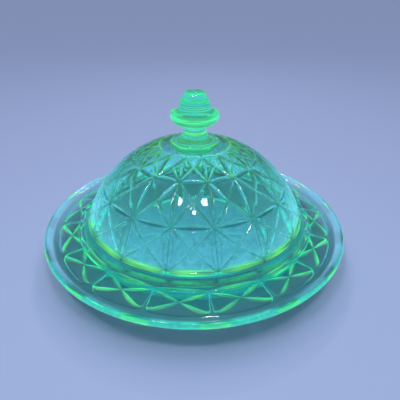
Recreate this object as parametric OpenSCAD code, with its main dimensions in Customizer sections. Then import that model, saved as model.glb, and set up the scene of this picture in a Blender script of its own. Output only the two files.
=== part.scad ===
// Round pressed-glass butter dish: a dish with a wide bordered rim, and a domed
// cover whose knob is pressed in one with it. Millimetres, +Z up, the dish's foot
// ring stands on z = 0 and both pieces share the Z axis.

/* [Dish] */
// Diameter of the dish over its rolled edge
dish_d = 190; // [176:1:230]
// Height of the top of the rolled edge above the table
rim_z = 18; // [15:0.5:24]
// Thickness of the border, which is also the diameter of its rolled edge
rim_t = 4; // [3:0.25:5]
// Fall of the border from the lip down to the rolled edge
border_fall = 0.5; // [0:0.1:2]
// Thickness of the well's floor
floor_t = 4; // [3:0.25:5]
// Diameter of the well at its floor
well_d = 110; // [80:1:114]
// Height of the foot ring under the floor
foot_h = 2.5; // [1.5:0.25:4]
// Outer diameter of the foot ring
foot_d = 108; // [80:1:108]
// Width of the foot ring
foot_w = 4; // [3:0.5:6]

/* [Seat for the cover] */
// Radial clearance between the cover's rim and the lip around the seat
seat_clearance = 0.8; // [0.4:0.1:2]
// Height of the lip that keeps the cover centred
lip_h = 1.5; // [0.8:0.1:3]
// Width of the lip at its top
lip_w = 2; // [1.5:0.25:4]

/* [Cover] */
// Diameter of the cover over its rim band
cover_d = 143; // [118:1:148]
// Height of the rim band, from its base to the ledge
band_h = 5.5; // [4.5:0.25:9]
// Width of the rim band outside the dome
band_w = 3.2; // [2.5:0.1:5]
// Height of the dome above the ledge
dome_h = 47.7; // [38:0.5:58]
// Wall thickness of the dome
wall = 3.6; // [3:0.1:5]

/* [Collar and knob] */
// Diameter of the collar's edge, the ring where the knob's root leaves the dome
collar_d = 27.2; // [24:0.2:34]
// Height of the collar's edge above the dome there
collar_h = 0.7; // [0.4:0.1:3]
// Height of the knob's flat top above the top of the dome
knob_h = 27.7; // [22:0.1:34]
// Diameter of the knob's skirt
skirt_d = 28.6; // [24:0.2:34]
// Diameter of the neck at its narrowest
neck_d = 13.2; // [10:0.2:15]
// Diameter of the knob's crown, just under its flat top
crown_d = 14.8; // [12:0.2:18]
// Diameter of the thickened middle of the cover, inside under the knob
boss_d = 25; // [20:0.5:32]
// Depth to which it reaches below the inside of the dome
boss_h = 3.5; // [1:0.25:6]

/* [Pressed pattern] */
// Number of petals around the border and of grooves around the dome
repeats = 16; // [10:1:20]
// Azimuth of the cover's first groove as the cover lies on the dish
cover_turn = 10; // [2:0.5:20]
// Azimuth of the gap before the dish's first petal
dish_turn = 5.5; // [2:0.5:20]
// Depth of a petal in the underside of the border
petal_depth = 1.2; // [0.6:0.1:1.6]
// Width of the plain glass left on each side of a row of petals
petal_margin = 1.5; // [1:0.25:3]
// Depth at which the grooves on the dome cross in a star
star_depth = 0.25; // [0.1:0.05:0.4]
// Half angle of a groove's V section
groove_angle = 62; // [50:1:70]

/* [Hidden] */
$fn = 96;
over = 8; // how far a cutting tool stands out of the glass

// Where the cover meets the dish
cover_r = cover_d / 2;
lip_r = cover_r + seat_clearance;
lip_slope = 0.8;
lip_outer_r = lip_r + lip_w + lip_slope;
border_z = rim_z + border_fall;
seat_z = border_z;

// Border of the dish: flat underneath, with a rolled edge
edge_r = rim_t / 2;
edge_x = dish_d / 2 - edge_r;
edge_z = rim_z - edge_r;
under_z = rim_z - rim_t;

// Dome: a spherical cap that stands on the ledge of the rim band
ledge_z = seat_z + band_h;
ledge_r = cover_r - band_w;
ledge_w = 0.3;
ball_r = (ledge_r * ledge_r + dome_h * dome_h) / (2 * dome_h);
dome_top = ledge_z + dome_h;
ball_z = dome_top - ball_r;
inner_ball_r = ball_r - wall;
boss_r = boss_d / 2;
inner_r = sqrt(pow(inner_ball_r, 2) - pow(ledge_z - ball_z, 2));

// Well of the dish: a sloped wall between the floor and the seat
floor_top = foot_h + floor_t;
well_r = min(well_d / 2, inner_r - 6);
foot_r = min(foot_d / 2, well_r - 1);
well_bevel = 1.5;
seat_inner_r = inner_r - 1;

// Collar and knob
collar_r = collar_d / 2;
collar_top = ball_z + sqrt(ball_r * ball_r - collar_r * collar_r) + collar_h;
knob_top = dome_top + knob_h;

// Elevation angles of the rows of stars on the dome. The first row stands just
// above the ledge, and the others share out the rest of the way to the pole.
foot_row = asin((ledge_z - ball_z) / ball_r) + 0.9;
lower_row = row_at(0.254);
upper_row = row_at(0.543);
top_row = row_at(0.746);
function row_at(share) = foot_row + (90 - foot_row) * share;
step = 360 / repeats;

// A point of the dome at elevation angle a and azimuth phi, sunk into the glass
function on_dome(a, phi) =
    (ball_r - star_depth) * [cos(a) * cos(phi), cos(a) * sin(phi), sin(a)] + [0, 0, ball_z];

// The V-edged cut whose bottom runs straight from point a to point b and that
// opens away from the dome's centre. It comes out boat-shaped, deepest half way.
module v_cut(a, b) {
    run = 1.1 * norm(b - a);
    mid = (a + b) / 2;
    along = (b - a) / norm(b - a);
    outward = mid - [0, 0, ball_z];
    pitch = acos(along.z);
    yaw = atan2(along.y, along.x);
    tool_x = [cos(yaw) * cos(pitch), sin(yaw) * cos(pitch), -sin(pitch)];
    tool_y = [-sin(yaw), cos(yaw), 0];
    half_w = over * tan(groove_angle);
    translate(mid)
        rotate([0, pitch, yaw])
            rotate([0, 0, atan2(outward * tool_y, outward * tool_x)])
                translate([0, 0, -run / 2])
                    linear_extrude(height = run)
                        polygon([[0, 0], [over, half_w], [over, -half_w]]);
}

// The two rays that leave a star at (row, 0) for the middle of the next panel
module crossing(row, to_row) {
    for (side = [-1, 1])
        v_cut(on_dome(row, 0), on_dome((row + to_row) / 2, side * step / 2));
}

// One repeat of the pressed pattern on the dome
module dome_pattern() {
    v_cut(on_dome(foot_row, 0), on_dome(lower_row, 0));
    v_cut(on_dome(lower_row, 0), on_dome(upper_row, 0));
    v_cut(on_dome(lower_row, 0), on_dome(lower_row, step));
    v_cut(on_dome(upper_row, 0), on_dome(upper_row, step));
    v_cut(on_dome(upper_row, 0), on_dome(top_row, 0));
    crossing(foot_row, lower_row);
    crossing(lower_row, foot_row);
    crossing(lower_row, upper_row);
    crossing(upper_row, lower_row);
}

module cover_profile() {
    difference() {
        union() {
            // Dome, rooted in the rim band
            intersection() {
                translate([0, ball_z]) circle(r = ball_r);
                translate([0, ledge_z - 1]) square([cover_r, dome_h + 2]);
            }
            // Rim band, from its base up to the ledge
            polygon([[inner_r - 1, seat_z], [cover_r - 0.8, seat_z],
                     [cover_r, seat_z + 0.8], [cover_r - 0.4, seat_z + 2.8],
                     [ledge_r + 0.9, ledge_z - 0.6], [ledge_r + ledge_w, ledge_z],
                     [inner_r - 1, ledge_z]]);
        }
        // Hollow: spherical, straight inside the rim band, flat under the knob
        intersection() {
            translate([0, ball_z]) circle(r = inner_ball_r);
            union() {
                translate([0, seat_z - 1])
                    square([inner_r, dome_top - wall - boss_h - seat_z + 1]);
                translate([boss_r, ledge_z]) square([inner_r - boss_r, dome_h]);
            }
        }
    }
}

// Outline of the collar, neck and knob, from inside the dome's wall up to the flat
// top. The knob's heights are in hundredths of knob_h, so it keeps its character.
module knob_profile() {
    neck_r = neck_d / 2;
    skirt_r = skirt_d / 2;
    crown_r = crown_d / 2;
    function up(share) = dome_top + knob_h * share / 100;
    polygon([
        [0, dome_top - wall / 2],
        // Collar: a low ring with a shallow hollow up to the foot of the neck
        [collar_r + 0.3, dome_top - wall / 2],
        [collar_r + 0.3, collar_top - 0.6],
        [collar_r, collar_top - 0.1],
        [collar_r - 0.6, collar_top],
        [collar_r - 1.6, collar_top - 0.1],
        [neck_r + 3.4, collar_top + 0.4],
        // Neck
        [neck_r + 2.2, up(3)],
        [neck_r + 1.6, up(6)],
        [neck_r + 0.9, up(11)],
        [neck_r + 0.1, up(18)],
        [neck_r, up(22)],
        [neck_r + 0.3, up(25)],
        [neck_r + 0.1, up(28.5)],
        // Skirt
        [neck_r + 3, up(33)],
        [skirt_r - 1.7, up(39)],
        [skirt_r - 0.5, up(43)],
        [skirt_r, up(50)],
        [skirt_r - 0.2, up(57)],
        [skirt_r - 0.8, up(62)],
        [skirt_r - 1.7, up(62.8)],
        // Bell-shaped crown with its flat top
        [crown_r + 2.4, up(68)],
        [crown_r + 1.8, up(70.5)],
        [crown_r + 0.9, up(80)],
        [crown_r, up(90)],
        [crown_r - 1.2, up(96)],
        [crown_r - 2.6, up(99.2)],
        [crown_r - 3.2, knob_top],
        [0, knob_top]]);
}

module cover() {
    color("palegreen") difference() {
        union() {
            rotate_extrude() cover_profile();
            rotate_extrude() knob_profile();
        }
        for (i = [0:repeats - 1]) rotate([0, 0, cover_turn + i * step]) dome_pattern();
    }
}

module dish_profile() {
    polygon([[0, foot_h], [foot_r - foot_w, foot_h], [foot_r - foot_w, 0],
             [foot_r, 0], [foot_r + 1, foot_h], [well_r + 3, foot_h + 1],
             [seat_inner_r + 3, under_z - 1], [lip_r - 1, under_z],
             [edge_x, under_z], [edge_x, rim_z], [lip_outer_r, border_z],
             [lip_outer_r - lip_slope, seat_z + lip_h], [lip_r, seat_z + lip_h],
             [lip_r, seat_z], [seat_inner_r, seat_z],
             [well_r, floor_top + well_bevel], [well_r - well_bevel, floor_top],
             [0, floor_top]]);
    // Rolled edge
    intersection() {
        translate([edge_x, edge_z]) circle(r = edge_r);
        translate([edge_x, under_z]) square([edge_r, rim_t]);
    }
}

// Petals: shallow round hollows in the underside of the border
module petals() {
    petal_x = (edge_x + lip_r) / 2;
    across_r = (edge_x - lip_r) / 2 - petal_margin;
    between_r = petal_x * sin(step / 2) - petal_margin;
    petal_r = min(across_r, between_r);
    cut_r = (petal_r * petal_r + petal_depth * petal_depth) / (2 * petal_depth);
    for (i = [0:repeats - 1])
        rotate([0, 0, dish_turn + (i + 0.5) * step])
            translate([petal_x, 0, 0])
                intersection() {
                    translate([0, 0, under_z + petal_depth - cut_r]) sphere(r = cut_r);
                    translate([0, 0, under_z - 1])
                        cylinder(r = petal_r + 0.5, h = rim_t);
                }
}

module dish() {
    color("mediumaquamarine") difference() {
        rotate_extrude() dish_profile();
        petals();
    }
}

dish();
cover();
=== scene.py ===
import math

import bpy
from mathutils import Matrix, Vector


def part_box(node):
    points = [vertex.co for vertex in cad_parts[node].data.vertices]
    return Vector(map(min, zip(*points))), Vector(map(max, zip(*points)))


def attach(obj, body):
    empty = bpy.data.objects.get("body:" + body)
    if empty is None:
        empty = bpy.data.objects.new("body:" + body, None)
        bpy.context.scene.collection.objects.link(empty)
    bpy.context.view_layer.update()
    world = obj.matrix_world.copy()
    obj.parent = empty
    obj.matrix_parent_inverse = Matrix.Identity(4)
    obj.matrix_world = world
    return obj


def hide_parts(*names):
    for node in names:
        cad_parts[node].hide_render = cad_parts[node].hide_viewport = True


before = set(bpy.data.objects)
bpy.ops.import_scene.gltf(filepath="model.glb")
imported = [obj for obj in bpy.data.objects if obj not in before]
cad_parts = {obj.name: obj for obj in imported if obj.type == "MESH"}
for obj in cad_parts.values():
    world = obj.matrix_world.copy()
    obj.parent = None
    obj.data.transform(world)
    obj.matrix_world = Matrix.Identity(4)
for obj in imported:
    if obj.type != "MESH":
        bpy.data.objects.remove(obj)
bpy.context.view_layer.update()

# ---------------------------------------------------------------------------
# Dish. One piece of uranium glass, pressed in a mould: a foot ring, a shallow
# well with a sunburst under it, a flat seat with a low lip for the cover, and a
# wide border whose underside is scooped into petals with a crossed star in each.

MM = 0.001
REPEATS = 16                    # both moulds are cut in sixteen equal sectors
STEP = 2 * math.pi / REPEATS
FINE = 48                       # columns across a sector of the dish where it is cut
PLAIN = 12                      # columns across a sector of the dish where it is plain

rim_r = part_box("dish")[1][0]
dish_turn = math.radians(5.5)   # azimuth of the gap before the first petal


class Sector:
    """One sector of a pressed piece, built ring by ring from its inside to its outside."""

    def __init__(self, turn):
        self.turn = turn
        self.verts, self.faces = [], []
        self.cuts, self.inward = [], []
        self.lime, self.aqua, self.shade = [], [], []
        self.last = []
        self.lower_half = True  # which half of a cell the next rings belong to

    def point(self, place, cut=0.0, inward=Vector((0, 0, 0)), lime=0.0, aqua=0.0, shade=0.0):
        """Adds a point, with its cut's depth and direction and its shares of painted glow and
        painted shade.
        """
        self.verts.append(place)
        self.cuts.append(cut)
        self.inward.append(inward)
        self.lime.append(lime)
        self.aqua.append(aqua)
        self.shade.append(shade)

    def ring(self, columns, place, cut=None, into=None, lime=None, aqua=None, shade=None):
        """Adds a ring of columns + 1 points. Each function takes the share of the way across."""
        first = len(self.verts)
        for i in range(columns + 1):
            across = i / columns
            radius, height = place(across)
            angle = self.turn + STEP * across
            place_now = Vector((radius * math.cos(angle), radius * math.sin(angle), height))
            self.point(place_now, cut(across) if cut else 0.0,
                       into(place_now) if into else Vector((0, 0, 0)),
                       lime(across) if lime else 0.0, aqua(across) if aqua else 0.0,
                       shade(across) if shade else 0.0)
        self.join(list(range(first, first + columns + 1)))

    def circle(self, columns, radius, height, **shares):
        """Adds a ring with the same radius and height all the way across."""
        self.ring(columns, lambda across: (radius, height), **shares)

    def pole(self, height, lime=0.0, aqua=0.0):
        """Closes the sector on the axis."""
        self.point(Vector((0, 0, height)), lime=lime, aqua=aqua)
        self.join([len(self.verts) - 1])

    def join(self, new):
        """Joins a ring or pole to the one before it."""
        old, self.last = self.last, new
        if not old:
            return
        many, few = max(len(old), len(new)) - 1, min(len(old), len(new)) - 1
        for i in range(many):
            if len(new) == 1:
                self.faces.append((old[i], old[i + 1], new[0]))
            elif len(old) == 1:
                self.faces.append((new[i + 1], new[i], old[0]))
            elif many == few:
                self.quad(old, new, i, many)
            else:
                self.fan(old, new, i, many // few)

    def quad(self, old, new, i, many):
        """Two triangles, split so that a cell's own diagonals are edges."""
        a, b, c, d = old[i], old[i + 1], new[i + 1], new[i]
        rising = (i < many // 2) == self.lower_half
        self.faces += [(a, b, c), (a, c, d)] if rising else [(a, b, d), (b, c, d)]

    def fan(self, old, new, i, ratio):
        """Joins column i of the finer ring to a ring with ratio times fewer columns."""
        j = i // ratio
        if len(old) > len(new):
            self.faces.append((old[i], old[i + 1], new[j]))
            if (i + 1) % ratio == 0:
                self.faces.append((old[i + 1], new[j + 1], new[j]))
        else:
            self.faces.append((old[j], new[i + 1], new[i]))
            if (i + 1) % ratio == 0:
                self.faces.append((old[j], old[j + 1], new[i + 1]))

    def finished(self, name):
        """The sector as an object, with its shares as attributes of the points."""
        mesh = bpy.data.meshes.new(name)
        mesh.from_pydata([tuple(v) for v in self.verts], [], self.faces)
        shares = {"cut": self.cuts, "lime": self.lime, "aqua": self.aqua, "shade": self.shade}
        for share in shares:
            mesh.attributes.new(share, "FLOAT", "POINT")
        mesh.attributes.new("inward", "FLOAT_VECTOR", "POINT")
        for share, values in shares.items():
            mesh.attributes[share].data.foreach_set("value", values)
        flat = [axis for way in self.inward for axis in way]
        mesh.attributes["inward"].data.foreach_set("vector", flat)
        piece = bpy.data.objects.new(name, mesh)
        bpy.context.collection.objects.link(piece)
        return piece


groove_slope = math.tan(math.radians(27))
fire_polish = 0.06 * MM         # rounding that fire polishing leaves along each cut
star_depth = 0.12 * MM          # depth at which the cuts cross in a star
lit_depth = 0.3 * MM            # depth over which a cut's walls change their light


def clamp(value):
    return min(max(value, 0), 1)


def to_side(across):
    """0 in the middle of a sector, 1 at its two sides."""
    return abs(2 * across - 1)


def v_cut(depth, along, aside):
    """Depth of a boat-shaped cut, along from 0 to 1 down its length, aside metres off it."""
    return star_depth + depth * 4 * along * (1 - along) - aside * groove_slope


def polished(depths):
    """The deepest of the cuts that meet at a point, with its edges rounded by the fire."""
    return fire_polish * math.log(1 + sum(math.exp(min(d / fire_polish, 60)) for d in depths))


def crossed(depth, across, up, width, height):
    """The four boat-shaped cuts from a cell's corners to its middle."""
    square = width * height / math.hypot(width, height)
    rising = v_cut(depth, (2 * across) % 1, abs(across - up) * square)
    falling = v_cut(depth, (2 * across) % 1, abs(1 - across - up) * square)
    return [rising, falling]


# Border: petals between the seat's lip and the rolled edge
petal_in = 72 * MM              # radius of the junctions where two petals meet
petal_out = 86.9 * MM
petal_height = petal_out - petal_in
petal_depth = 1.1 * MM
petal_corner = 6                # how squarely a petal's outer corners are rounded
petal_star = 0.55 * MM          # depth of the star's cuts, halfway along
petal_chord = 0.8 * MM          # depth of the cut along the chord, halfway along
under_z = 14 * MM               # the border's underside


def chord_radius(across):
    """Radius of the straight line between two junctions."""
    return petal_in * math.cos(STEP / 2) / math.cos((across - 0.5) * STEP)


def petal_radius(across, up):
    """Radius up a petal, from 0 at its chord to 1 at its rounded outer end."""
    outline = max(1 - to_side(across) ** petal_corner, 0) ** (1 / petal_corner)
    start = chord_radius(across)
    return start + (petal_out - start) * up * outline


def petal_grooves(across, up):
    """Depths of the star in a petal and of the cut along its chord."""
    width = (petal_in + petal_height * up) * STEP
    cuts = crossed(petal_star, across, up, width, petal_height)
    cuts.append(v_cut(petal_chord, across, up * petal_height))
    return cuts


def petal_cut(across, up):
    """Depth of the scooped petal and the grooves in it."""
    x = to_side(across)
    if x == 1:
        up = 0                  # a petal's rows all meet at the junction, in one point
    scoop = petal_depth * ((1 - x ** 8) * (1 - up ** 8)) ** 0.5 * (1 - (1 - up) ** 3)
    return scoop + polished(petal_grooves(across, up))


def petal_lime(across, up):
    """Share of bright green light along the grooves of a petal."""
    return clamp(max(petal_grooves(across, up)) / lit_depth) * 1.6


def petal_aqua(across, up):
    """Share of aqua light along the two sides of a petal."""
    return to_side(across) ** 30 * 3


def petal_shade(across, up):
    """Share of painted shade along a petal's rounded end."""
    return up ** 24 * (1 - to_side(across) ** 30)


def gap_lime(across):
    """Share of bright green light at the rim opposite the ridges between petals."""
    return clamp((to_side(across) - 0.6) / 0.08) * 1.3


def rim_aqua(across):
    """Share of aqua light along the rolled edge, least where it shines green."""
    return 2 - 1.3 * gap_lime(across)


def inner_cut(across, inward):
    """Depth of the half of the chord's cut that lies on the seat's side, inward metres from it."""
    return polished([v_cut(petal_chord, across, inward)])


# Sunburst under the well: fine rays that run out from a plain middle
ray_depth = 0.3 * MM
rays = 2                        # rays in one sector
rays_in = 7 * MM
rays_out = 47 * MM


def sunburst(across, share):
    """Depth of the rays, share from 0 to 1 along them."""
    wave = 0.5 - 0.5 * math.cos(2 * math.pi * across * rays)
    return ray_depth * wave * math.sin(math.pi * clamp(share)) ** 0.5


def up_into_glass(point):
    return Vector((0, 0, 1))


def arc(centre, radius, start, end, steps):
    """Points of a profile's rounded corner, as (radius, height), angles in degrees."""
    points = []
    for i in range(steps + 1):
        a = math.radians(start + (end - start) * i / steps)
        points.append((centre[0] + radius * math.cos(a), centre[1] + radius * math.sin(a)))
    return points


def in_mm(pairs):
    """Points of a profile, as (radius, height), from their millimetres."""
    return [(radius * MM, height * MM) for radius, height in pairs]


recess_z = 2.5 * MM             # underside of the floor, inside the foot ring
floor_z = 6.5 * MM              # top of the floor
seat_top = 18.42 * MM           # the flat ring that the cover stands on
foot_in = 50 * MM
foot_out = 54 * MM
foot_round = 1.2 * MM

dish_sector = Sector(dish_turn)
# Painted aqua glow over the whole underside of the floor
dish_sector.pole(recess_z, aqua=1)
# Sunburst on the recessed underside of the floor
for i in range(17):
    share = i / 16
    dish_sector.circle(FINE, rays_in + (rays_out - rays_in) * share, recess_z,
                       cut=lambda across: sunburst(across, share), into=up_into_glass,
                       aqua=lambda across: 1)
# Foot ring
for radius, height in (arc((foot_in + foot_round, foot_round), foot_round, 180, 270, 4)
                       + arc((foot_out - foot_round, foot_round), foot_round, 270, 360, 4)
                       + in_mm([(54.4, 2.4), (56, 3)])):
    dish_sector.circle(FINE, radius, height)
# Wall of the well, outside, up to the start of the petals' chords
for i in range(1, 9):
    share = i / 9
    dish_sector.circle(FINE, (56 + 11 * share ** 0.9) * MM, (3 + 9.6 * share ** 1.1) * MM)
dish_sector.ring(FINE, lambda across: (chord_radius(across) - 3.2 * MM, 13.7 * MM))
# Seat's side of the chords, with a painted green glow along their cut
for i in range(6):
    inward = (2.4 - 0.4 * i) * MM
    dish_sector.ring(FINE, lambda across: (chord_radius(across) - inward, under_z),
                     cut=lambda across: inner_cut(across, inward), into=up_into_glass,
                     lime=lambda across: min(inner_cut(across, inward) / (0.5 * MM), 1))
# Petals, with painted glow along their grooves and sides and painted shade at their rounded ends
for i in range(FINE + 1):
    up = i / FINE
    dish_sector.lower_half = i <= FINE // 2
    dish_sector.ring(FINE, lambda across: (petal_radius(across, up), under_z),
                     cut=lambda across: petal_cut(across, up), into=up_into_glass,
                     lime=lambda across: petal_lime(across, up),
                     aqua=lambda across: petal_aqua(across, up),
                     shade=lambda across: petal_shade(across, up))
dish_sector.lower_half = True
# Ridges between the petals
ridge_out = 88.2 * MM
for i in range(1, 7):
    share = i / 6
    dish_sector.ring(FINE, lambda across: (petal_radius(across, 1) * (1 - share)
                                           + ridge_out * share, under_z))
# Plain margin, rolled edge with painted green and aqua glow, and the smooth top of the border
edge_r = 2 * MM
edge_z = 17.3 * MM              # its middle, so that it stands a little above the border
dish_sector.circle(FINE, 90 * MM, 14.3 * MM)
for radius, height in arc((rim_r - edge_r, edge_z), edge_r, -90, 100, 15):
    dish_sector.circle(PLAIN if height > edge_z + edge_r * 0.9 else FINE, radius, height,
                       lime=gap_lime if abs(height - edge_z) < edge_r * 0.85 else None,
                       aqua=rim_aqua)
top_profile = in_mm([(92, 19.05), (91.3, 18.6), (90.8, 18.1), (90.2, 17.7), (89.4, 17.5),
                     (88, 17.5), (84, 17.8), (79, 18.2), (76.2, 18.5), (75.3, 18.9)])
# The cover's lip, the seat and the well
top_profile += arc((74.3 * MM, 19.3 * MM), 0.7 * MM, 20, 160, 6)
top_profile += [(73 * MM, 18.9 * MM), (72.3 * MM, seat_top), (70 * MM, seat_top),
                (65 * MM, seat_top)]
well_steps = 20
for i in range(well_steps + 1):
    share = i / well_steps
    fall = 0.5 + 0.5 * math.cos(math.pi * share)
    top_profile.append(((64 - 18 * share) * MM, floor_z + (seat_top - floor_z) * fall))
top_profile += [(30 * MM, floor_z), (15 * MM, floor_z)]
for radius, height in top_profile:
    dish_sector.circle(PLAIN, radius, height)
dish_sector.pole(floor_z)


# Colours of the painted glow and painted highlights that the surface gives off
lime_light = (0.035, 0.2, 0.015)
aqua_light = (0.015, 0.065, 0.085)
clear_skin = (0.93, 1, 0.98)    # colour of the surface where its shade is 0
painted_shade_colour = (0.1, 0.38, 0.5)    # and where it is 1, painted shade, as on the walls that turn from the light
knob_z = 70 * MM                # the cover is a knob above this height


def add_node(tree, kind, values=None, **settings):
    """Adds a node with its settings and the values of its inputs."""
    node = tree.nodes.new(kind)
    for key, value in settings.items():
        setattr(node, key, value)
    for key, value in (values or {}).items():
        node.inputs[key].default_value = value
    return node


def glass(name, tint, density, glow_colour, glow):
    """Uranium glass: clear, tinted by its depth, with a painted glow through it and along its cuts
    and painted shade in its surface colour.
    """
    material = bpy.data.materials.new(name)
    material.use_nodes = True
    tree = material.node_tree
    tree.nodes.clear()
    link = tree.links.new
    out = add_node(tree, "ShaderNodeOutputMaterial")
    surface = add_node(tree, "ShaderNodeBsdfPrincipled",
                       {"Transmission Weight": 1, "IOR": 1.5, "Emission Strength": 1})
    link(surface.outputs["BSDF"], out.inputs["Surface"])
    # Painted shade: the surface colour darkens where a point's shade share is high
    painted_shade = add_node(tree, "ShaderNodeAttribute", attribute_name="shade")
    skin = add_node(tree, "ShaderNodeMix", {"A": (*clear_skin, 1), "B": (*painted_shade_colour, 1)},
                    data_type="RGBA")
    link(painted_shade.outputs["Fac"], skin.inputs["Factor"])
    link(skin.outputs["Result"], surface.inputs["Base Color"])
    # Faint waviness of a pressed surface, stronger and in level streaks on the knob
    place = add_node(tree, "ShaderNodeTexCoord")
    waves = add_node(tree, "ShaderNodeTexNoise", {"Scale": 120, "Detail": 0})
    stretch = add_node(tree, "ShaderNodeMapping", {"Scale": (60, 60, 900)})
    streaks = add_node(tree, "ShaderNodeTexNoise", {"Scale": 1, "Detail": 1})
    heights = add_node(tree, "ShaderNodeSeparateXYZ")
    on_knob = add_node(tree, "ShaderNodeMapRange",
                       {"From Min": knob_z, "From Max": knob_z + 1 * MM, "To Max": 2.5})
    gloss = add_node(tree, "ShaderNodeMapRange",
                     {"From Min": knob_z, "From Max": knob_z + 2 * MM,
                      "To Min": 0.02, "To Max": 0.08})
    streaked = add_node(tree, "ShaderNodeMath", operation="MULTIPLY")
    relief = add_node(tree, "ShaderNodeMath", operation="ADD")
    bump = add_node(tree, "ShaderNodeBump", {"Strength": 0.5, "Distance": 0.1 * MM})
    link(place.outputs["Object"], waves.inputs["Vector"])
    link(place.outputs["Object"], stretch.inputs["Vector"])
    link(stretch.outputs["Vector"], streaks.inputs["Vector"])
    link(place.outputs["Object"], heights.inputs["Vector"])
    link(heights.outputs["Z"], on_knob.inputs["Value"])
    link(heights.outputs["Z"], gloss.inputs["Value"])
    link(gloss.outputs["Result"], surface.inputs["Roughness"])
    link(streaks.outputs["Fac"], streaked.inputs[0])
    link(on_knob.outputs["Result"], streaked.inputs[1])
    link(waves.outputs["Fac"], relief.inputs[0])
    link(streaked.outputs[0], relief.inputs[1])
    link(relief.outputs[0], bump.inputs["Height"])
    link(bump.outputs["Normal"], surface.inputs["Normal"])
    # Painted glow and painted highlights: light that the surface gives off along its cuts, edges
    # and panels
    feathers = add_node(tree, "ShaderNodeTexNoise",
                        {"Scale": 220, "Detail": 2, "Distortion": 2})
    link(place.outputs["Object"], feathers.inputs["Vector"])
    together = add_node(tree, "ShaderNodeVectorMath", operation="ADD")
    for i, (share_name, colour, pattern, spread) in enumerate((
            ("lime", lime_light, streaks, 0.6), ("aqua", aqua_light, feathers, 0.3))):
        uneven = add_node(tree, "ShaderNodeMapRange",
                          {"From Min": 0.35, "From Max": 0.65,
                           "To Min": 1 - spread, "To Max": 1 + spread})
        link(pattern.outputs["Fac"], uneven.inputs["Value"])
        share = add_node(tree, "ShaderNodeAttribute", attribute_name=share_name)
        amount = add_node(tree, "ShaderNodeMath", operation="MULTIPLY")
        link(share.outputs["Fac"], amount.inputs[0])
        link(uneven.outputs["Result"], amount.inputs[1])
        coloured = add_node(tree, "ShaderNodeVectorMath", {0: colour}, operation="SCALE")
        link(amount.outputs[0], coloured.inputs["Scale"])
        link(coloured.outputs["Vector"], together.inputs[i])
    link(together.outputs["Vector"], surface.inputs["Emission Color"])
    # Colour and glow of the glass's depth
    absorb = add_node(tree, "ShaderNodeVolumeAbsorption",
                      {"Color": (*tint, 1), "Density": density})
    shine = add_node(tree, "ShaderNodeEmission",
                     {"Color": (*glow_colour, 1), "Strength": glow})
    both = add_node(tree, "ShaderNodeAddShader")
    link(absorb.outputs["Volume"], both.inputs[0])
    link(shine.outputs["Emission"], both.inputs[1])
    link(both.outputs["Shader"], out.inputs["Volume"])
    return material


dish_metal = glass("uranium_glass_thin", (0.0, 0.97, 0.97), 90, (0.15, 1.0, 0.7), 6)
full_depth = 1.0                # the cuts are pressed in to their own depth
weld_distance = 0.02 * MM
sharp_angle = math.radians(35)


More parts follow.
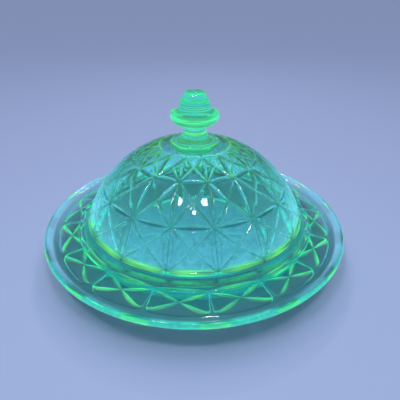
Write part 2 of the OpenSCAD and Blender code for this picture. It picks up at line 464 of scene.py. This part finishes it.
def round_press(piece, cut_depth, material):
    """Repeats a sector around the axis with its cuts pressed in, and leaves a plain mesh."""
    tree = bpy.data.node_groups.new(piece.name + "_press", "GeometryNodeTree")
    face = tree.interface
    face.new_socket("Geometry", in_out="INPUT", socket_type="NodeSocketGeometry")
    repeats = face.new_socket("Repeats", in_out="INPUT", socket_type="NodeSocketInt")
    depth = face.new_socket("Cut depth", in_out="INPUT", socket_type="NodeSocketFloat")
    weld = face.new_socket("Weld distance", in_out="INPUT", socket_type="NodeSocketFloat")
    finish = face.new_socket("Material", in_out="INPUT", socket_type="NodeSocketMaterial")
    face.new_socket("Geometry", in_out="OUTPUT", socket_type="NodeSocketGeometry")
    link = tree.links.new
    given = add_node(tree, "NodeGroupInput")
    result = add_node(tree, "NodeGroupOutput")

    cut = add_node(tree, "GeometryNodeInputNamedAttribute", {"Name": "cut"}, data_type="FLOAT")
    inward = add_node(tree, "GeometryNodeInputNamedAttribute", {"Name": "inward"},
                      data_type="FLOAT_VECTOR")
    amount = add_node(tree, "ShaderNodeMath", operation="MULTIPLY")
    link(cut.outputs["Attribute"], amount.inputs[0])
    link(given.outputs["Cut depth"], amount.inputs[1])
    offset = add_node(tree, "ShaderNodeVectorMath", operation="SCALE")
    link(inward.outputs["Attribute"], offset.inputs[0])
    link(amount.outputs[0], offset.inputs["Scale"])
    press = add_node(tree, "GeometryNodeSetPosition")
    link(given.outputs["Geometry"], press.inputs["Geometry"])
    link(offset.outputs["Vector"], press.inputs["Offset"])

    places = add_node(tree, "GeometryNodePoints")
    link(given.outputs["Repeats"], places.inputs["Count"])
    number = add_node(tree, "GeometryNodeInputIndex")
    share = add_node(tree, "ShaderNodeMath", operation="DIVIDE")
    link(number.outputs["Index"], share.inputs[0])
    link(given.outputs["Repeats"], share.inputs[1])
    angle = add_node(tree, "ShaderNodeMath", {1: 2 * math.pi}, operation="MULTIPLY")
    link(share.outputs[0], angle.inputs[0])
    turn = add_node(tree, "ShaderNodeCombineXYZ")
    link(angle.outputs[0], turn.inputs["Z"])
    around = add_node(tree, "GeometryNodeInstanceOnPoints")
    link(places.outputs["Points"], around.inputs["Points"])
    link(press.outputs["Geometry"], around.inputs["Instance"])
    link(turn.outputs["Vector"], around.inputs["Rotation"])
    whole = add_node(tree, "GeometryNodeRealizeInstances")
    link(around.outputs["Instances"], whole.inputs["Geometry"])
    merge = add_node(tree, "GeometryNodeMergeByDistance")
    link(whole.outputs["Geometry"], merge.inputs["Geometry"])
    link(given.outputs["Weld distance"], merge.inputs["Distance"])
    smooth = add_node(tree, "GeometryNodeSetShadeSmooth")
    link(merge.outputs["Geometry"], smooth.inputs["Geometry"])
    coat = add_node(tree, "GeometryNodeSetMaterial")
    link(smooth.outputs["Geometry"], coat.inputs["Geometry"])
    link(given.outputs["Material"], coat.inputs["Material"])
    link(coat.outputs["Geometry"], result.inputs["Geometry"])

    modifier = piece.modifiers.new("press", "NODES")
    modifier.node_group = tree
    modifier[repeats.identifier] = REPEATS
    modifier[depth.identifier] = cut_depth
    modifier[weld.identifier] = weld_distance
    modifier[finish.identifier] = material
    bpy.context.view_layer.update()
    ready = piece.evaluated_get(bpy.context.evaluated_depsgraph_get())
    mesh = bpy.data.meshes.new_from_object(ready)
    piece.modifiers.clear()
    piece.data = mesh
    mesh.set_sharp_from_angle(angle=sharp_angle)
    for name in ("cut", "inward"):
        mesh.attributes.remove(mesh.attributes[name])


dish_glass = dish_sector.finished("dish_glass")
round_press(dish_glass, full_depth, dish_metal)
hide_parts("dish")
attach(dish_glass, "dish")

# ---------------------------------------------------------------------------
# Cover. One pressing too: a spherical dome on a rim band that rests inside the
# dish's lip, cut all over with a lattice of eight-rayed stars, and a knob that
# was pressed in the same mould, so nothing holds it on.

COVER_PLAIN = 10                # columns across a sector of the cover where it is plain

cover_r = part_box("cover")[1][0]
seat_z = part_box("cover")[0][2]
cover_turn = math.radians(10)   # azimuth of the first meridian of stars
ball_r = 72.74 * MM
ball_z = -1.04 * MM
ball_centre = Vector((0, 0, ball_z))
wall = 3.6 * MM
ledge_z = 24 * MM               # top of the rim band, where the dome starts
band_in = 64.45 * MM            # the rim band's inside
base_round = 0.8 * MM           # rounding of the rim band's base
ceiling_z = 64.6 * MM           # underside of the thickened middle of the dome
lattice_columns = [40, 40, 20]  # columns of the mesh across a cell of each row
star_rows = [math.radians(a) for a in (21, 38.5, 58.5, 72.5)]
meridian_cuts = [1.15 * MM, 0.5 * MM, 0.25 * MM]
row_cuts = [0.9 * MM, 0.8 * MM, 0.35 * MM, 0.1 * MM]
crossing_cuts = [0.4 * MM, 0.5 * MM, 0.2 * MM]
line_light = [0.15, 0.4, 1.2]   # green light in the bottoms of each row's cuts
panel_light = 3.8               # aqua light in the panels at the foot of the dome
foot_glow = 2.1                 # green light where the dome meets its ledge


def straightened(latitude, across):
    """Latitude of the straight cut that joins two neighbouring stars of a row."""
    away = math.cos((across - 0.5) * STEP) / math.cos(STEP / 2)
    return math.atan(math.tan(latitude) * away)


def on_ball(radius, latitude):
    """Radius and height of a point on a ball that shares the dome's centre."""
    return radius * math.cos(latitude), ball_z + radius * math.sin(latitude)


def dome_point(row, up, across):
    """Point of a cell of the dome, before it is cut."""
    low = straightened(star_rows[row], across)
    high = straightened(star_rows[row + 1], across)
    return on_ball(ball_r, low + (high - low) * up)


def cell_size(row, up):
    """Width of a cell at a share of its height, and its height."""
    low, high = star_rows[row], star_rows[row + 1]
    return ball_r * math.cos(low + (high - low) * up) * STEP, ball_r * (high - low)


def lattice(row, up, across):
    """Depth of the cuts in one cell of the dome, between two rows of stars."""
    width, height = cell_size(row, up)
    cuts = crossed(crossing_cuts[row], across, up, width, height)
    cuts.append(v_cut(meridian_cuts[row], up, across * width))
    cuts.append(v_cut(meridian_cuts[row], up, (1 - across) * width))
    cuts.append(v_cut(row_cuts[row], across, up * height))
    cuts.append(v_cut(row_cuts[row + 1], across, (1 - up) * height))
    return polished(cuts)


def foot_lens(across):
    """The bright crescent between two grooves where the dome meets its ledge."""
    return foot_glow * math.sin(math.pi * across) ** 0.6


def foot_light(row, up, across):
    """1 where the dome meets its ledge, falling to 0 a little way up."""
    height = cell_size(row, up)[1]
    return clamp(1.8 - up * height / (1.3 * MM)) if row == 0 else 0


def lattice_lime(row, up, across):
    """Share of bright green light along the bottoms of the cuts, and at the dome's foot."""
    width, height = cell_size(row, up)
    square = width * height / math.hypot(width, height)
    aside = min(abs(across - up) * square, abs(1 - across - up) * square, across * width,
                (1 - across) * width, up * height, (1 - up) * height)
    line = max(1 - aside / (0.7 * MM), 0) * line_light[row]
    return max(line, foot_lens(across) * foot_light(row, up, across))


def lattice_shade(row, up, across):
    """Share of painted shade on the lower wall of each row's cuts and along the others."""
    width, height = cell_size(row, up)
    lower_wall = v_cut(row_cuts[row + 1], across, (1 - up) * height)
    boat = min((lower_wall - 1.2 * star_depth) / lit_depth, 1)
    edges = [v_cut(meridian_cuts[row], up, across * width),
             v_cut(meridian_cuts[row], up, (1 - across) * width)]
    edge = max(max(1 - abs(e) / lit_depth, 0) for e in edges)
    bottom = 1 - min(across, 1 - across) * width / (0.5 * MM)
    square = width * height / math.hypot(width, height)
    crossing = min(abs(across - up), abs(1 - across - up)) * square
    to_star = to_side(across)
    wedge = (0.3 + 0.7 * to_star) * (1 - crossing / ((0.4 + 0.4 * to_star) * MM))
    return max(boat, 0.4 * edge, 0.7 * bottom, wedge)


def lattice_aqua(row, up, across):
    """Share of painted aqua light in the panels, most at the foot of the dome, with a painted
    highlight on the upper wall of each row's cuts.
    """
    latitude = star_rows[row] + (star_rows[row + 1] - star_rows[row]) * up
    fade = (star_rows[-1] - latitude) / (star_rows[-1] - star_rows[0])
    height = cell_size(row, up)[1]
    upper_wall = clamp(v_cut(row_cuts[row], across, up * height) / lit_depth)
    bright = fade ** 2 * (panel_light + upper_wall) * (1 - foot_light(row, up, across))
    return bright * (1 - 0.8 * lattice_shade(row, up, across))


def to_ball_centre(point):
    return (ball_centre - point).normalized()


cover_sector = Sector(cover_turn)
# Thickened middle and the smooth inside of the dome
cover_sector.pole(ceiling_z)
for radius, height in ([(4 * MM, ceiling_z), (8 * MM, ceiling_z)]
                       + arc((11.3 * MM, 65.8 * MM), 1.2 * MM, -90, 0, 4)
                       + [(12.8 * MM, 66.6 * MM)]):
    cover_sector.circle(COVER_PLAIN, radius, height)
inside_steps = 28
inside_top, inside_foot = 78.4, 21.2
for i in range(inside_steps + 1):
    latitude = math.radians(inside_top - (inside_top - inside_foot) * i / inside_steps)
    cover_sector.circle(COVER_PLAIN, *on_ball(ball_r - wall, latitude))
cover_sector.circle(COVER_PLAIN, band_in, 22 * MM)
# Rim band with its rounded base
base_z = seat_z + base_round
for radius, height in (arc((band_in + base_round, base_z), base_round, 180, 270, 3)
                       + arc((cover_r - base_round, base_z), base_round, 270, 360, 4)
                       + in_mm([(71.4, 20.6), (71, 21.5), (70.2, 22.3), (69.2, 23),
                                (68.6, 23.6)])
                       + [(68.35 * MM, ledge_z)]):
    # Painted shade on the band's face and on its inside base edge, painted aqua light on the face
    # and painted green glow on the ledge
    on_ledge = height > ledge_z - 0.2 * MM
    inside = radius < 66 * MM
    on_face = radius > 68.5 * MM and height > seat_z + 1 * MM and not on_ledge
    cover_sector.circle(lattice_columns[0], radius, height,
                        lime=foot_lens if on_ledge else None,
                        aqua=(lambda across: 0.8) if on_face else None,
                        shade=(lambda across: 1) if on_face or inside else None)
# Cut lattice, with painted glow and highlights in its cuts and panels and painted shade on their
# walls
for row, columns in enumerate(lattice_columns):
    for i in range(0 if row == 0 else 1, columns + 1):
        up = i / columns
        cover_sector.lower_half = i <= columns // 2
        cover_sector.ring(columns, lambda across: dome_point(row, up, across),
                          cut=lambda across: lattice(row, up, across), into=to_ball_centre,
                          lime=lambda across: lattice_lime(row, up, across),
                          aqua=lambda across: lattice_aqua(row, up, across),
                          shade=lambda across: lattice_shade(row, up, across))
cover_sector.lower_half = True
# Plain crown, collar, neck and knob, with grooves round the knob's top
for latitude in (74, 76, 78):
    cover_sector.circle(COVER_PLAIN, *on_ball(ball_r, math.radians(latitude)))
knob_profile = in_mm([(14, 70.35), (13.75, 70.7), (13.4, 71.0), (12.9, 71.1), (12.2, 71.0),
                      (11, 71.1), (9.9, 71.5), (9, 72.2), (8.4, 73), (7.9, 74), (7.2, 75.4),
                      (6.75, 76.8), (6.6, 77.8), (6.85, 78.3), (7, 78.75), (6.85, 79.2),
                      (7.2, 79.7), (8.6, 80.2), (10.6, 80.9), (12.4, 81.9), (13.5, 83),
                      (14.1, 84.3), (14.3, 85.4), (14.1, 86.4), (14.0, 87.4), (13.7, 87.9),
                      (13.2, 88.1), (12.4, 88.2), (11.2, 88.7), (10.1, 89.4), (9.7, 89.8)])
crown_rings = in_mm([(9.65 - 0.3 * i, 90.1 + i) for i in range(4)])
groove_rise = 0.7 * MM          # from a ring's foot to the bottom of the groove above it
for radius, height in crown_rings:
    knob_profile += [(radius, height), (radius - 0.02 * MM, height + 0.4 * MM),
                     (radius - 0.4 * MM, height + groove_rise)]
knob_profile += in_mm([(8.3, 94.2), (7.8, 95.2), (7.1, 96.6), (6.3, 97.9), (5.4, 98.9),
                       (4.5, 99.35), (3.4, 99.4)])
knob_top = 99.4 * MM
for radius, height in knob_profile:
    on_neck = 74.5 * MM < height < 77.5 * MM or height < 70.9 * MM
    on_bead = 78.2 * MM < height < 79.4 * MM
    on_skirt = 81 * MM < height < 87 * MM
    in_groove = any(abs(height - ring_z - groove_rise) < 0.01 * MM for _, ring_z in crown_rings)
    # Painted glow, green most on the neck and skirt and aqua most on the bead, and painted shade
    # in the crown's grooves
    cover_sector.circle(COVER_PLAIN, radius, height,
                        lime=lambda across: 1.3 if on_neck else 0.8 if on_skirt else 0.4,
                        aqua=lambda across: 2 if on_bead else 0.5,
                        shade=lambda across: 0.7 if in_groove else 0)
cover_sector.pole(knob_top, lime=0.4, aqua=0.5)

cover_metal = glass("uranium_glass_cut", (0.0, 0.95, 0.92), 140, (1.0, 0.9, 0.42), 4.5)
cover_glass = cover_sector.finished("cover_glass")
round_press(cover_glass, full_depth, cover_metal)
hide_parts("cover")
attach(cover_glass, "cover")

# ---------------------------------------------------------------------------
# Studio: a pale blue floor, a wide soft light from above, small lamps for the
# highlights and a camera that looks down on the dish from close by.

floor_mesh = bpy.data.meshes.new("floor")
reach = 40                      # metres from the dish to the floor's edge
floor_mesh.from_pydata([(-reach, -reach, 0), (reach, -reach, 0), (reach, reach, 0),
                        (-reach, reach, 0)], [], [(0, 1, 2, 3)])
floor = bpy.data.objects.new("floor", floor_mesh)
bpy.context.collection.objects.link(floor)
floor_paint = bpy.data.materials.new("floor_paint")
floor_paint.use_nodes = True
paint = floor_paint.node_tree.nodes["Principled BSDF"]
paint.inputs["Base Color"].default_value = (0.36, 0.45, 0.74, 1)
paint.inputs["Roughness"].default_value = 0.75
floor_mesh.materials.append(floor_paint)

world = bpy.data.worlds.new("studio")
bpy.context.scene.world = world
world.use_nodes = True
sky = world.node_tree.nodes["Background"]
sky.inputs["Color"].default_value = (0.75, 0.82, 1.0, 1)
sky.inputs["Strength"].default_value = 0.14


def lamp(name, kind, place, size, power, mirrored=True):
    """A lamp aimed at the dish. Its size is in metres, or a sun's in degrees."""
    light = bpy.data.lights.new(name, kind)
    if kind == "SUN":
        light.angle = math.radians(size)
    else:
        light.shape = "DISK"
        light.size = size
    light.energy = power
    holder = bpy.data.objects.new(name, light)
    holder.location = place
    holder.rotation_euler = (middle - Vector(place)).to_track_quat("-Z", "Y").to_euler()
    holder.visible_glossy = mirrored
    holder.visible_transmission = False
    bpy.context.collection.objects.link(holder)


middle = Vector((0, 0, 0.04))
lamp("ceiling", "SUN", (0, 0.5, 2.2), 75, 1.7, mirrored=False)
lamp("lamp_left", "AREA", (-0.17, -0.233, 0.6), 0.09, 0.5)
lamp("lamp_right", "AREA", (0.1, -0.25, 0.6), 0.09, 0.5)
lamp("lamp_front", "AREA", (-0.01, -0.35, 0.55), 0.04, 0.15)
lamp("lamp_back", "AREA", (0.03, 0.5, 0.55), 0.06, 0.4)

camera_data = bpy.data.cameras.new("camera")
camera_data.sensor_width = 36
camera_data.lens = 31.95
camera_data.shift_x = -0.003
camera = bpy.data.objects.new("camera", camera_data)
camera.location = (0, -0.2033, 0.1452)
camera.rotation_mode = "XYZ"
camera.rotation_euler = (math.radians(90 - 29.8), math.radians(-0.37), math.radians(-0.95))
bpy.context.collection.objects.link(camera)
bpy.context.scene.camera = camera
bpy.context.scene.view_settings.view_transform = "Standard"
bpy.context.scene.cycles.max_bounces = 40
bpy.context.scene.cycles.transmission_bounces = 40
